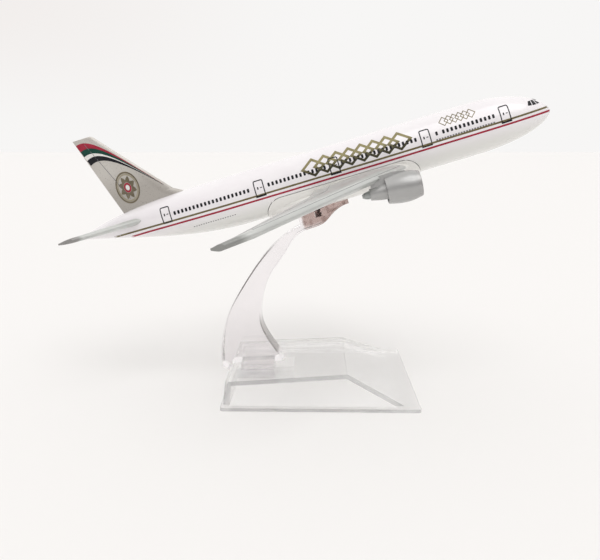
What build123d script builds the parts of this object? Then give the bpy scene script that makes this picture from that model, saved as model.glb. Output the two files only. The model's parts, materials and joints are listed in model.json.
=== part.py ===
"""Desktop airliner model: a die-cast twin-jet on a clear curved arm and base.

Frame: +X towards the nose, +Y to port, +Z up, origin on the desk under the
middle of the whole model. The stand is drawn about the middle of its base and
the assembly is moved along X at the end. Aircraft pieces are drawn level, with the pin axis through
their origin, and are then tilted nose-up and set on the arm. In that level
frame a "station" is the distance behind the tip of the nose.
"""

from build123d import *
import math
import os

# ---- driving dimensions (mm, degrees) ---------------------------------------
# Fuselage
LENGTH = 160.0
RADIUS = 8.5
SHELL = 2.0
NOSE_LENGTH = 28.0
NOSE_DROOP = 1.3
TAIL_LENGTH = 56.0
TAIL_END_RADIUS = 0.95
CROWN_DROP = 4.75
CAVITY_START = 26.0
CAVITY_TO_TAIL = 42.0
BORE_SPARE = 0.5

# Wing and belly casting
BELLY_DEPTH = RADIUS + 1.3
BELLY_PAN_DEPTH = 4.0
BELLY_PAN_SINK = 0.8
BELLY_PAN_OVERHANG = 4.0
SEAM_CORNER = 6.0
FAIRING_START = 45.7
FAIRING_END = 98.0
FAIRING_STEP = 0.35
HALF_SPAN = 70.0
RAKE_WIDTH = 6.0
BREAK_SPAN = 24.0
WING_ROOT_Y = 5.0
WING_ROOT_LE = 47.2
WING_SWEEP = 0.82
WING_ROOT_TE = 81.0
WING_BREAK_TE = 82.5
WING_OUTER_CHORD = 6.3
WING_TIP_SETBACK = 7.6
WING_TIP_CHORD = 3.4
WING_ROOT_HEIGHT = 3.5 - RADIUS
SEAM_HEIGHT = WING_ROOT_HEIGHT + 2.1
WING_BREAK_HEIGHT = 3.3 - RADIUS
WING_TIP_HEIGHT = 2.1 - RADIUS
WING_ROOT_THICKNESS = 4.4
WING_BREAK_THICKNESS = 3.0
WING_OUTER_THICKNESS = 2.2
WING_TIP_THICKNESS = 1.7
FLAP_FAIRINGS = (17.0, 31.0, 44.0)
FLAP_FAIRING_SIZE = (4.6, 0.85, 1.0)
FLAP_FAIRING_LARGEST = 1.15
FLAP_FAIRING_TAPER = 0.009
FLAP_FAIRING_AHEAD = 2.0
FLAP_FAIRING_DROP = 1.1

# Fin and tailplane
FIN_TOP = RADIUS + 25.8
FIN_TOP_LE = LENGTH - 12.6
FIN_TOP_TE = LENGTH - 6.0
FIN_SWEEP = 0.8625
FIN_RAKE = 0.309
FIN_ROOT_THICKNESS = 1.9
FIN_TIP_THICKNESS = 1.1
FIN_SINK = 2.6
FIN_TOP_BEVEL = 0.3
FIN_TOP_SETBACK = 0.5
FILLET_LENGTH = 3.0
FILLET_HEIGHT = 1.7
FILLET_SUNK_LENGTH = 7.5
TENON_COVER = 0.2
FIN_TENON = (9.0, 1.4, 4.0)
FIN_TENON_STATION = LENGTH - 23.0
TAILPLANE_HALF_SPAN = 23.5
TAILPLANE_ROOT_Y = 3.0
TAILPLANE_ROOT_LE = LENGTH - 23.0
TAILPLANE_ROOT_TE = LENGTH - 6.5
TAILPLANE_TIP_LE = LENGTH - 4.2
TAILPLANE_TIP_TE = LENGTH + 1.0
TAILPLANE_ROOT_THICKNESS = 2.5
TAILPLANE_TIP_THICKNESS = 1.6
TAILPLANE_HEIGHT = RADIUS - 5.5
TAILPLANE_RISE = 0.8
TAILPLANE_TIP_ROUND = 1.0
TAILPLANE_TIP_BEVEL = 0.3
TAILPLANE_TIP_SETBACK = 0.4
TAILPLANE_TIP_LEAD = 0.9
TAIL_TENON = (5.0, 3.4, 1.1)
TAIL_TENON_STATION = LENGTH - 14.0

# Engines
ENGINE_Y = 20.5
ENGINE_STATION = 49.0
ENGINE_HEIGHT = -RADIUS - 1.6
ENGINE_DROOP = 3.0
COWL_LENGTH = 10.6
COWL_RADIUS = 4.7
COWL_EXIT_RADIUS = 4.0
COWL_WALL = 0.3
LIP_RADIUS = 3.65
LIP_LENGTH = 1.1
LIP_WIDTH = 0.48
FAN_BORE = 3.5
THROAT_STEP = 0.2
FAN_DEPTH = 3.0
FAN_BLADES = 18
FAN_BLADE = (1.25, 0.16)
FAN_BLADE_TWIST = 38.0
FAN_BLADE_BEHIND = 0.55
FAN_TIP_GAP = 0.15
FAN_PLATE = 0.8
FAN_PLATE_BEHIND = 1.4
SPINNER_RADIUS = 1.05
SPINNER_AHEAD = 1.3
SPINNER_BEHIND = 0.9
CORE_FRONT = FAN_DEPTH + FAN_PLATE_BEHIND + FAN_PLATE / 2
CORE_WEB = 0.6
CORE_RADIUS = 2.6
CORE_EXIT_RADIUS = 1.75
CORE_END = 15.7
PLUG_RADIUS = 1.25
PLUG_TIP_RADIUS = 0.55
PLUG_END = 18.1
PLUG_SEAT = 2.5
PYLON_THICKNESS = 1.7
PYLON_HEIGHT = 5.3
PYLON_FRONT = 3.9
PYLON_SHOULDER = 7.7
PYLON_REAR_TOP = 14.5
PYLON_REAR_LOW = 15.2
PYLON_REAR_DROP = 0.6
PYLON_SINK = 1.0

# Pin between the arm and the aircraft
PIN_STATION = 82.0
PIN_RADIUS = 1.25
PIN_UPPER = 5.2
PIN_LOWER = 2.5
PIN_CHAMFER = 0.35
PIN_END_SPARE = 0.3
PIN_FOOT_SPARE = 0.1
COLLAR_RADIUS = PIN_RADIUS + 1.15
COLLAR_THICKNESS = 0.8
COLLAR_PROUD = 0.15
BUSH_RADIUS = PIN_RADIUS + 1.75
BUSH_LENGTH = PIN_UPPER + 1.0

# Screws that hold the wing casting to the fuselage
SCREW_STATIONS = (61.0, 93.0)
SCREW_RADIUS = 0.7
SCREW_HEAD_RADIUS = 1.2
SCREW_HEAD_THICKNESS = 0.8
SCREW_RECESS = 1.6
SCREW_LENGTH = 9.0
SCREW_CROSS = (1.5, 0.3, 0.6)
BOSS_RADIUS = 1.8

# Base
BASE_LENGTH = 63.0
BASE_WIDTH = 61.2
BASE_CORNER = 1.2
FLANGE = 1.1
FOOT_REAR = 0.7
FOOT_FRONT = 4.9
FOOT_SIDE = 2.8
PLATE_FRONT_X = BASE_LENGTH / 2 - 22.6
PLATE_HALF_WIDTH = BASE_WIDTH / 2 - 10.1
PLATE_FRONT_Z = 8.7
PLATE_TILT = 3.1
BASE_WALL = 1.8
REAR_WALL_X = -BASE_LENGTH / 2 + FOOT_REAR

# Tongue of the arm and its socket, ahead of the rear wall
TENON_REAR_X = REAR_WALL_X + 3.2
TENON_FRONT_X = REAR_WALL_X + 14.8
TENON_BOTTOM_Z = 1.4
TENON_OVERLAP = 1.0
SOCKET_FRONT_X = REAR_WALL_X + 21.8
SOCKET_WALL = 1.2
SOCKET_FLOOR = 0.8

# Stand: where the pin axis meets the top of the arm, and its tilt
MOUNT_X = REAR_WALL_X + 29.2
MOUNT_Z = 60.9
PITCH_UP = 16.75
ARM_THICKNESS = 8.0
ARM_EDGE = 0.6
HEAD_REAR = 6.7
HEAD_FRONT = 10.9
HEAD_TIP = 1.6
NECK_DROP = 4.2
HEEL_BEHIND = 3.7
HEEL_RISE = 0.6
HEEL_DROP = 1.0
HEEL_FOOT = 3.2
TOE_AHEAD = 18.2

# Fits
PIN_CLEARANCE = 0.05
TENON_CLEARANCE = 0.08
SEAT_GAP = 0.05
SEAM_GAP = 0.15
GLUE_GAP = 0.02

# ---- placement --------------------------------------------------------------
HEAD_TOP = -(BELLY_DEPTH + COLLAR_PROUD)
MOUNT = Pos(MOUNT_X, 0, MOUNT_Z) * Rot(0, -PITCH_UP, 0)
AIRCRAFT = MOUNT * Pos(0, 0, -HEAD_TOP)


def forward(station):
    """Distance ahead of the pin axis, in the level frame."""
    return PIN_STATION - station


# ---- fuselage ---------------------------------------------------------------
def fuselage_radius(station):
    """Blunt nose, straight barrel, and a tail that closes as a parabola."""
    if station < NOSE_LENGTH:
        reach = 1 - station / NOSE_LENGTH
        return RADIUS * (1 - reach**2.4) ** 0.625
    reach = max(0.0, station - (LENGTH - TAIL_LENGTH)) / TAIL_LENGTH
    return RADIUS - (RADIUS - TAIL_END_RADIUS) * reach**2


def fuselage_centre(station):
    """The nose droops, and the crown stays nearly level over the tail."""
    if station < NOSE_LENGTH:
        return -NOSE_DROOP * (1 - station / NOSE_LENGTH) ** 2.5
    reach = max(0.0, station - (LENGTH - TAIL_LENGTH)) / TAIL_LENGTH
    crown = RADIUS - CROWN_DROP * reach**3.6
    return crown - fuselage_radius(station)


def ring(station):
    """Round section of the fuselage at a station."""
    centre = (forward(station), 0, fuselage_centre(station))
    return Plane(origin=centre, x_dir=(0, 1, 0), z_dir=(1, 0, 0)) * Circle(fuselage_radius(station))


def fuselage_body():
    """Outside shape of the fuselage, solid."""
    nose_reaches = (0.006, 0.03, 0.08, 0.16, 0.27, 0.4, 0.55, 0.7, 0.85, 1.0)
    nose = loft([ring(NOSE_LENGTH * reach) for reach in nose_reaches])
    tail_start = LENGTH - TAIL_LENGTH
    tail_reaches = (0.0, 0.1, 0.22, 0.34, 0.46, 0.58, 0.7, 0.81, 0.91, 1.0)
    tail = loft([ring(tail_start + TAIL_LENGTH * reach) for reach in tail_reaches])
    barrel_length = tail_start - NOSE_LENGTH
    middle = forward(NOSE_LENGTH + barrel_length / 2)
    barrel = Pos(middle, 0, 0) * Rot(0, 90, 0) * Cylinder(RADIUS, barrel_length)
    return nose + barrel + tail


def seam_slab(gap):
    """Block below the seam where the wing casting replaces the lower fuselage."""
    length = FAIRING_END - FAIRING_START + 2 * gap
    height = 2 * RADIUS
    top = SEAM_HEIGHT + gap
    sketch = Plane.XZ * Pos(forward((FAIRING_START + FAIRING_END) / 2), top - height / 2)
    profile = sketch * RectangleRounded(length, height, SEAM_CORNER)
    slab = extrude(profile, 2 * RADIUS, both=True)
    lower = Pos(forward((FAIRING_START + FAIRING_END) / 2), 0, top - height)
    return slab + lower * Box(length, 4 * RADIUS, height)


def screw_axis(station):
    """Centre line of a belly screw, at the floor of its recess."""
    return Pos(forward(station), 0, -BELLY_DEPTH + SCREW_RECESS)


def upright(radius, height):
    """Cylinder that stands on its origin."""
    return Cylinder(radius, height, align=(Align.CENTER, Align.CENTER, Align.MIN))


def hanging(radius, height):
    """Cylinder that hangs from its origin."""
    return Cylinder(radius, height, align=(Align.CENTER, Align.CENTER, Align.MAX))


def fuselage(body, fin_tenon, tailplane_tenons):
    """Hollow upper casting with screw bosses and pockets for the tail."""
    cavity_end = LENGTH - CAVITY_TO_TAIL
    cavity_length = cavity_end - CAVITY_START
    cavity = Pos(forward((CAVITY_START + cavity_end) / 2), 0, 0) * Rot(0, 90, 0)
    casting = body - cavity * Cylinder(RADIUS - SHELL, cavity_length)
    for station in SCREW_STATIONS:
        boss = Pos(forward(station), 0, SEAM_HEIGHT) * upright(BOSS_RADIUS, RADIUS - SHELL / 2 - SEAM_HEIGHT)
        casting += boss
    casting -= seam_slab(SEAM_GAP)
    for station in SCREW_STATIONS:
        casting -= screw_axis(station) * upright(SCREW_RADIUS + GLUE_GAP, SCREW_LENGTH + BORE_SPARE)
    casting -= fin_tenon
    for tenon in tailplane_tenons:
        casting -= tenon
    return casting


# ---- wings, fin and tailplane ------------------------------------------------
def blade_section(plane, chord, thickness):
    """Blunt-nosed cast section: chord runs aft along the plane's X axis."""
    upper = [(1.0, 0.3), (0.6, 0.46), (0.25, 0.5), (0.06, 0.3)]
    lower = [(0.06, -0.28), (0.25, -0.46), (0.6, -0.36), (1.0, -0.02)]
    points = [(u * chord, v * thickness) for u, v in upper + [(0.0, 0.0)] + lower]
    outline = [Spline(*points), Line(points[-1], points[0])]
    return plane * make_face(outline)


def even_section(plane, chord, thickness):
    """Section with the same curve on both faces, for the fin and tailplane."""
    side = [(1.0, 0.18), (0.6, 0.42), (0.28, 0.5), (0.07, 0.32)]
    points = [(u * chord, v * thickness) for u, v in side]
    points += [(0.0, 0.0)]
    points += [(u * chord, -v * thickness) for u, v in reversed(side)]
    outline = [Spline(*points), Line(points[-1], points[0])]
    return plane * make_face(outline)


def across(leading_station, y, z):
    """Section plane of a wing, at its leading edge."""
    return Plane(origin=(forward(leading_station), y, z), x_dir=(-1, 0, 0), z_dir=(0, 1, 0))


def level(leading_station, z):
    """Section plane of the fin, at its leading edge."""
    return Plane(origin=(forward(leading_station), 0, z), x_dir=(-1, 0, 0), z_dir=(0, 0, 1))


def wing_leading(y):
    """Station of the leading edge, out to the raked tip."""
    return WING_ROOT_LE + WING_SWEEP * (y - WING_ROOT_Y)


def wing_trailing(y):
    """Station of the trailing edge, out to the raked tip."""
    outer_y = HALF_SPAN - RAKE_WIDTH
    outer = wing_leading(outer_y) + WING_OUTER_CHORD
    if y < BREAK_SPAN:
        share = (y - WING_ROOT_Y) / (BREAK_SPAN - WING_ROOT_Y)
        return WING_ROOT_TE + share * (WING_BREAK_TE - WING_ROOT_TE)
    share = (y - BREAK_SPAN) / (outer_y - BREAK_SPAN)
    return WING_BREAK_TE + share * (outer - WING_BREAK_TE)


def wing_height(y):
    """Height of the wing's leading edge."""
    if y < BREAK_SPAN:
        share = (y - WING_ROOT_Y) / (BREAK_SPAN - WING_ROOT_Y)
        return WING_ROOT_HEIGHT + share * (WING_BREAK_HEIGHT - WING_ROOT_HEIGHT)
    share = (y - BREAK_SPAN) / (HALF_SPAN - BREAK_SPAN)
    return WING_BREAK_HEIGHT + share * (WING_TIP_HEIGHT - WING_BREAK_HEIGHT)


def wing(side):
    """One thick cast wing with a raked tip and canoe fairings."""
    outer_y = HALF_SPAN - RAKE_WIDTH
    thicknesses = {
        WING_ROOT_Y: WING_ROOT_THICKNESS,
        BREAK_SPAN: WING_BREAK_THICKNESS,
        outer_y: WING_OUTER_THICKNESS,
    }
    sections = []
    for y, thickness in thicknesses.items():
        chord = wing_trailing(y) - wing_leading(y)
        plane = across(wing_leading(y), side * y, wing_height(y))
        sections.append(blade_section(plane, chord, thickness))
    tip_leading = wing_leading(outer_y) + WING_TIP_SETBACK
    tip = across(tip_leading, side * HALF_SPAN, WING_TIP_HEIGHT)
    sections.append(blade_section(tip, WING_TIP_CHORD, WING_TIP_THICKNESS))
    panel = loft(sections, ruled=True)
    for y in FLAP_FAIRINGS:
        size = FLAP_FAIRING_LARGEST - FLAP_FAIRING_TAPER * y
        x = forward(wing_trailing(y) - FLAP_FAIRING_AHEAD)
        place = Pos(x, side * y, wing_height(y) - FLAP_FAIRING_DROP)
        panel += place * scale(Sphere(size), by=FLAP_FAIRING_SIZE)
    return panel


def belly_fairing():
    """Proud lower shell of the fuselage with a flat pad for the stand."""
    middle = forward((FAIRING_START + FAIRING_END) / 2)
    length = FAIRING_END - FAIRING_START
    shell = Pos(middle, 0, 0) * Rot(0, 90, 0) * Cylinder(RADIUS + FAIRING_STEP, length + 2)
    pan = scale(Sphere(1), by=(length / 2 + BELLY_PAN_OVERHANG, RADIUS + FAIRING_STEP, BELLY_PAN_DEPTH))
    fairing = shell + Pos(middle, 0, BELLY_PAN_DEPTH - BELLY_DEPTH - BELLY_PAN_SINK) * pan
    fairing = fairing & seam_slab(0)
    pad_cut = Pos(middle, 0, -BELLY_DEPTH) * Box(
        2 * length, 4 * RADIUS, RADIUS, align=(Align.CENTER, Align.CENTER, Align.MAX)
    )
    return fairing - pad_cut


def wing_casting(engine_reliefs):
    """Both wings and the belly in one casting, relieved for the engines."""
    casting = belly_fairing() + wing(1) + wing(-1)
    casting -= Pos(0, 0, -BELLY_DEPTH) * upright(BUSH_RADIUS + GLUE_GAP, BUSH_LENGTH + GLUE_GAP)
    for station in SCREW_STATIONS:
        recess = screw_axis(station)
        casting -= recess * upright(SCREW_RADIUS + GLUE_GAP, RADIUS + BELLY_DEPTH)
        casting -= recess * Pos(0, 0, SCREW_HEAD_THICKNESS) * hanging(SCREW_HEAD_RADIUS + GLUE_GAP, RADIUS)
    for relief in engine_reliefs:
        casting -= relief
    return casting


def wing_screws():
    """Two cross-head screws, up through the belly into the fuselage bosses."""
    screws = []
    for station in SCREW_STATIONS:
        screw = upright(SCREW_HEAD_RADIUS, SCREW_HEAD_THICKNESS) + upright(SCREW_RADIUS, SCREW_LENGTH)
        for angle in (0, 90):
            screw -= Rot(0, 0, angle) * Box(*SCREW_CROSS)
        screws.append(screw_axis(station) * screw)
    return Compound(children=screws)


def fin_blade():
    """Fin with its dorsal fillet, running down into the fuselage."""

    def trailing(z):
        return FIN_TOP_TE - FIN_RAKE * (FIN_TOP - z)

    def leading(z):
        return FIN_TOP_LE - FIN_SWEEP * (FIN_TOP - z)

    crown = RADIUS + 0.1
    straight = crown + FILLET_HEIGHT
    sunk = RADIUS - FIN_SINK
    top = FIN_TOP - FIN_TOP_BEVEL
    stations = [
        (sunk, leading(straight) - FILLET_SUNK_LENGTH, FIN_ROOT_THICKNESS),
        (crown, leading(straight) - FILLET_LENGTH, FIN_ROOT_THICKNESS),
        (straight, leading(straight), FIN_ROOT_THICKNESS),
        (top, leading(top), FIN_TIP_THICKNESS),
        (FIN_TOP, leading(FIN_TOP) + FIN_TOP_SETBACK, FIN_TIP_THICKNESS - FIN_TOP_BEVEL),
    ]
    sections = [even_section(level(le, z), trailing(z) - le, thick) for z, le, thick in stations]
    return loft(sections, ruled=True)


def fin_tenon(gap):
    """Root block of the fin, sunk in the crown of the fuselage."""
    length, width, depth = FIN_TENON
    block = Box(length + 2 * gap, width + 2 * gap, depth + gap, align=(Align.CENTER, Align.CENTER, Align.MAX))
    return Pos(forward(FIN_TENON_STATION), 0, RADIUS - TENON_COVER) * block


def tailplane_blade(side):
    """One half of the tailplane, running into the tail cone."""
    rise = TAILPLANE_RISE / (TAILPLANE_HALF_SPAN - TAILPLANE_ROOT_Y)
    tip_y = TAILPLANE_HALF_SPAN
    before_le = TAILPLANE_TIP_LE - TAILPLANE_TIP_LEAD
    before_te = TAILPLANE_TIP_TE - TAILPLANE_TIP_BEVEL
    tip_le = TAILPLANE_TIP_LE + TAILPLANE_TIP_SETBACK
    stations = [
        (TAILPLANE_ROOT_Y, TAILPLANE_ROOT_LE, TAILPLANE_ROOT_TE, TAILPLANE_ROOT_THICKNESS),
        (tip_y - TAILPLANE_TIP_ROUND, before_le, before_te, TAILPLANE_TIP_THICKNESS),
        (tip_y, tip_le, TAILPLANE_TIP_TE, TAILPLANE_TIP_THICKNESS - TAILPLANE_TIP_BEVEL),
    ]
    sections = []
    for y, le, te, thick in stations:
        z = TAILPLANE_HEIGHT + rise * (y - TAILPLANE_ROOT_Y)
        sections.append(even_section(across(le, side * y, z), te - le, thick))
    return loft(sections, ruled=True)


def tailplane_tenon(side, gap):
    """Root block of a tailplane half, sunk in the tail cone."""
    length, width, height = TAIL_TENON
    block = Box(length + 2 * gap, width + 2 * gap, height + 2 * gap)
    y = side * (TAILPLANE_ROOT_Y + TENON_COVER + gap)
    return Pos(forward(TAIL_TENON_STATION), y, TAILPLANE_HEIGHT) * block


# ---- engines ----------------------------------------------------------------
def revolved(outline):
    """Solid of revolution about X from edges in the XY plane."""
    return revolve(make_face(outline), axis=Axis.X)


def cowl():
    """Hollow fan cowl behind the inlet ring, with a straight fan bore."""
    outer = Spline(
        (-LIP_LENGTH, LIP_RADIUS + LIP_WIDTH),
        (-LIP_LENGTH - 2.0, COWL_RADIUS - 0.12),
        (-COWL_LENGTH * 0.5, COWL_RADIUS),
        (-COWL_LENGTH, COWL_EXIT_RADIUS),
    )
    inner_exit = (-COWL_LENGTH, COWL_EXIT_RADIUS - COWL_WALL)
    bore_end = (-COWL_LENGTH * 0.6, FAN_BORE)
    bore_start = (-FAN_DEPTH + 0.6, FAN_BORE)
    throat = (-LIP_LENGTH, FAN_BORE - THROAT_STEP)
    return revolved([
        outer,
        Line(outer @ 1, inner_exit),
        Line(inner_exit, bore_end),
        Line(bore_end, bore_start),
        Line(bore_start, throat),
        Line(throat, outer @ 0),
    ])


def cowl_relief():
    """Space that the wing keeps clear round the cowl."""
    reach = COWL_RADIUS + SEAM_GAP
    back = -COWL_LENGTH - SEAM_GAP
    points = [(0, 0), (0, reach), (-COWL_LENGTH * 0.5, reach), (back, COWL_EXIT_RADIUS + 0.3), (back, 0)]
    return revolve(make_face(Polyline(*points, close=True)), axis=Axis.X)


def inlet_ring():
    """Rounded front lip of the cowl."""
    back_outer = (-LIP_LENGTH, LIP_RADIUS + LIP_WIDTH)
    back_inner = (-LIP_LENGTH, FAN_BORE - THROAT_STEP)
    outer = Spline(back_outer, (-0.3, LIP_RADIUS + 0.28), (0, LIP_RADIUS), tangents=[(1, -0.1), (0, -1)])
    inner = Spline((0, LIP_RADIUS), (-0.35, LIP_RADIUS - 0.25), back_inner, tangents=[(0, -1), (-1, -0.05)])
    return revolved([outer, inner, Line(back_inner, back_outer)])


def fan():
    """Moulded fan insert: back plate, twisted blades and spinner."""
    disc = Cylinder(FAN_BORE - GLUE_GAP, FAN_PLATE)
    plate = Pos(-FAN_DEPTH - FAN_PLATE_BEHIND, 0, 0) * Rot(0, 90, 0) * disc
    reach = FAN_BORE - GLUE_GAP - FAN_TIP_GAP
    twisted = Rot(0, 0, FAN_BLADE_TWIST) * Box(*FAN_BLADE, reach)
    blade = Pos(-FAN_DEPTH - FAN_BLADE_BEHIND, 0, reach / 2) * twisted
    insert = plate
    for index in range(FAN_BLADES):
        insert += Rot(index * 360 / FAN_BLADES, 0, 0) * blade
    tip = (-FAN_DEPTH + SPINNER_AHEAD, 0)
    rim = (-FAN_DEPTH - SPINNER_BEHIND, SPINNER_RADIUS)
    hub = (-FAN_DEPTH - SPINNER_BEHIND, 0)
    cone = Spline(tip, (-FAN_DEPTH + 0.4, SPINNER_RADIUS * 0.62), rim, tangents=[(-0.4, 1), (-1, 0.15)])
    insert += revolved([cone, Line(rim, hub), Line(hub, tip)])
    return insert


def core():
    """Core cowl behind the fan, with a stator web that centres it in the bore."""
    front = -CORE_FRONT
    web_back = front - CORE_WEB
    outer = Spline(
        (web_back, CORE_RADIUS - 0.3),
        (-COWL_LENGTH + 1.5, CORE_RADIUS),
        (-COWL_LENGTH - 1.5, CORE_RADIUS - 0.22),
        (-CORE_END, CORE_EXIT_RADIUS),
    )
    corners = [
        outer @ 1,
        (-CORE_END, PLUG_RADIUS + GLUE_GAP),
        (-CORE_END + PLUG_SEAT, PLUG_RADIUS + GLUE_GAP),
        (-CORE_END + PLUG_SEAT, 0),
        (front, 0),
        (front, FAN_BORE - GLUE_GAP),
        (web_back, FAN_BORE - GLUE_GAP),
        outer @ 0,
    ]
    return revolved([outer] + [Line(a, b) for a, b in zip(corners, corners[1:])])


def exhaust_plug():
    """Tapered plug in the nozzle of the core."""
    start = -CORE_END + PLUG_SEAT
    tip = (-PLUG_END, PLUG_TIP_RADIUS)
    taper = Spline((-CORE_END, PLUG_RADIUS), (-CORE_END - 1.3, PLUG_RADIUS - 0.18), tip)
    corners = [taper @ 1, (-PLUG_END, 0), (start, 0), (start, PLUG_RADIUS), taper @ 0]
    return revolved([taper] + [Line(a, b) for a, b in zip(corners, corners[1:])])


def engine_place(side):
    """Centre of the inlet, with the nose of the engine turned down a little."""
    return Pos(forward(ENGINE_STATION), side * ENGINE_Y, ENGINE_HEIGHT) * Rot(0, ENGINE_DROOP, 0)


def pylon_plate(gap):
    """Side view of the pylon in the engine frame, grown by a gap."""
    points = [
        (-PYLON_FRONT + gap, COWL_RADIUS - PYLON_SINK),
        (-PYLON_FRONT + gap, COWL_RADIUS + 0.1),
        (-PYLON_SHOULDER + gap, PYLON_HEIGHT + gap),
        (-PYLON_REAR_TOP - gap, PYLON_HEIGHT - PYLON_REAR_DROP + gap),
        (-PYLON_REAR_LOW - gap, CORE_EXIT_RADIUS - 0.2),
        (-COWL_LENGTH + 2 * PYLON_SINK, CORE_RADIUS - 0.7),
        (-COWL_LENGTH + 2 * PYLON_SINK, COWL_RADIUS - PYLON_SINK),
    ]
    face = Plane.XZ * make_face(Polyline(*points, close=True))
    return extrude(face, PYLON_THICKNESS / 2 + gap, both=True)


# ---- pin and bush -----------------------------------------------------------
def mount_pin():
    """Collared pin: it turns in the arm and the aircraft lifts off it."""
    base = Pos(0, 0, -BELLY_DEPTH)
    upper = base * upright(PIN_RADIUS, PIN_UPPER)
    collar = base * hanging(COLLAR_RADIUS, COLLAR_THICKNESS)
    lower = base * hanging(PIN_RADIUS, COLLAR_THICKNESS + PIN_LOWER)
    pin = upper + collar + lower
    return chamfer(pin.faces().sort_by(Axis.Z)[-1].edges(), PIN_CHAMFER)


def belly_bush():
    """Brass bush in the belly pad, closed at the top."""
    base = Pos(0, 0, -BELLY_DEPTH)
    bush = base * upright(BUSH_RADIUS, BUSH_LENGTH)
    return bush - base * upright(PIN_RADIUS + PIN_CLEARANCE, PIN_UPPER + PIN_END_SPARE)


# ---- stand ------------------------------------------------------------------
def plate_height(x):
    """Height of the base's tilted top plate."""
    return PLATE_FRONT_Z + (x - PLATE_FRONT_X) * math.tan(math.radians(PLATE_TILT))


def from_wall(distance, height):
    """Point of the arm's side view, ahead of the base's rear wall."""
    return (REAR_WALL_X + distance, height)


def head_point(along, drop):
    """Point of the arm's head: along the fuselage from the pin, below the top."""
    tilt = math.radians(PITCH_UP)
    x = MOUNT_X + along * math.cos(tilt) + drop * math.sin(tilt)
    z = MOUNT_Z + along * math.sin(tilt) - drop * math.cos(tilt)
    return (x, z)


def arm_profile():
    """Side view of the arm: heel, swept back edge, wedge head, front edge."""
    wall_z = plate_height(REAR_WALL_X)
    toe_x, _ = from_wall(TOE_AHEAD, 0)
    toe = (toe_x, plate_height(toe_x) + SEAT_GAP)
    shoulder = from_wall(-TENON_CLEARANCE, wall_z + SEAT_GAP)
    heel_top = from_wall(-HEEL_BEHIND, wall_z + HEEL_RISE)
    heel_back = from_wall(-HEEL_BEHIND, wall_z - HEEL_DROP)
    heel_low = from_wall(-TENON_CLEARANCE, wall_z - HEEL_FOOT)
    head_rear = head_point(-HEAD_REAR, 0)
    head_front = head_point(HEAD_FRONT, 0)
    head_tip = head_point(HEAD_FRONT, HEAD_TIP)
    neck = head_point(-HEAD_REAR, NECK_DROP)
    back = Spline(
        heel_top,
        from_wall(-3.1, 16.5),
        from_wall(-0.3, 26.0),
        from_wall(3.4, 32.8),
        from_wall(10.6, 43.6),
        from_wall(16.5, 50.0),
        neck,
    )
    front = Spline(
        head_tip,
        head_point(HEAD_FRONT - 3.6, 2.1),
        head_point(HEAD_FRONT - 6.3, 3.4),
        head_point(HEAD_FRONT - 9.3, 5.3),
        from_wall(23.6, 52.4),
        from_wall(18.7, 45.6),
        from_wall(13.5, 37.8),
        from_wall(10.7, 28.9),
        from_wall(10.4, 21.0),
        from_wall(12.6, 16.0),
        toe,
    )
    return [
        back,
        Line(neck, head_rear),
        Line(head_rear, head_front),
        Line(head_front, head_tip),
        front,
        Line(toe, shoulder),
        Line(shoulder, heel_low),
        Line(heel_low, heel_back),
        Line(heel_back, heel_top),
    ]


def tenon_block(gap):
    """Tongue under the arm's foot, grown by a gap on its four sides."""
    length = TENON_FRONT_X - TENON_REAR_X + 2 * gap
    middle = (TENON_FRONT_X + TENON_REAR_X) / 2
    top = plate_height(TENON_FRONT_X) + TENON_OVERLAP
    height = top - TENON_BOTTOM_Z
    place = Pos(middle, 0, TENON_BOTTOM_Z)
    return place * Box(length, ARM_THICKNESS + 2 * gap, height, align=(Align.CENTER, Align.CENTER, Align.MIN))


def stand_arm():
    """Clear curved arm with its tongue and the bore for the pin."""
    plate = extrude(Plane.XZ * make_face(arm_profile()), ARM_THICKNESS / 2, both=True)
    rounded = []
    for edge in plate.edges():
        on_face = abs(abs(edge.center().Y) - ARM_THICKNESS / 2) < 0.01
        if on_face and edge.length > 40:
            rounded.append(edge)
    plate = fillet(rounded, ARM_EDGE)
    plate += tenon_block(0)
    plate -= MOUNT * hanging(COLLAR_RADIUS + 2 * PIN_CLEARANCE, COLLAR_THICKNESS - COLLAR_PROUD)
    bore_depth = COLLAR_THICKNESS - COLLAR_PROUD + PIN_LOWER + PIN_FOOT_SPARE
    plate -= MOUNT * hanging(PIN_RADIUS + PIN_CLEARANCE, bore_depth)
    return plate


def plinth(inset):
    """Sloped block of the base, moved in by a wall thickness on each face."""
    front_run = BASE_LENGTH / 2 - FOOT_FRONT - PLATE_FRONT_X
    front_rise = PLATE_FRONT_Z - FLANGE
    front_shift = inset * math.hypot(front_run, front_rise) / front_rise
    foot_half = BASE_WIDTH / 2 - FOOT_SIDE
    side_run = foot_half - PLATE_HALF_WIDTH
    side_shift = inset * math.hypot(side_run, front_rise) / front_rise
    rear = REAR_WALL_X + inset
    lean = front_run / front_rise
    side_lean = side_run / front_rise

    def front_at(z):
        return PLATE_FRONT_X + lean * (PLATE_FRONT_Z - z) - front_shift

    def side_at(z):
        return PLATE_HALF_WIDTH + side_lean * (PLATE_FRONT_Z - z) - side_shift

    roof = PLATE_FRONT_Z + 4.0
    side_view = Polyline((rear, 0), (front_at(0), 0), (front_at(roof), roof), (rear, roof), close=True)
    end_view = Polyline(
        (-side_at(0), 0), (side_at(0), 0), (side_at(roof), roof), (-side_at(roof), roof), close=True
    )
    block = extrude(Plane.XZ * make_face(side_view), BASE_WIDTH, both=True)
    block &= extrude(Plane.YZ * make_face(end_view), BASE_LENGTH, both=True)
    above = Pos(PLATE_FRONT_X, 0, PLATE_FRONT_Z - inset) * Rot(0, -PLATE_TILT, 0)
    return block - above * Box(
        4 * BASE_LENGTH, 2 * BASE_WIDTH, 20, align=(Align.CENTER, Align.CENTER, Align.MIN)
    )


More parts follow.
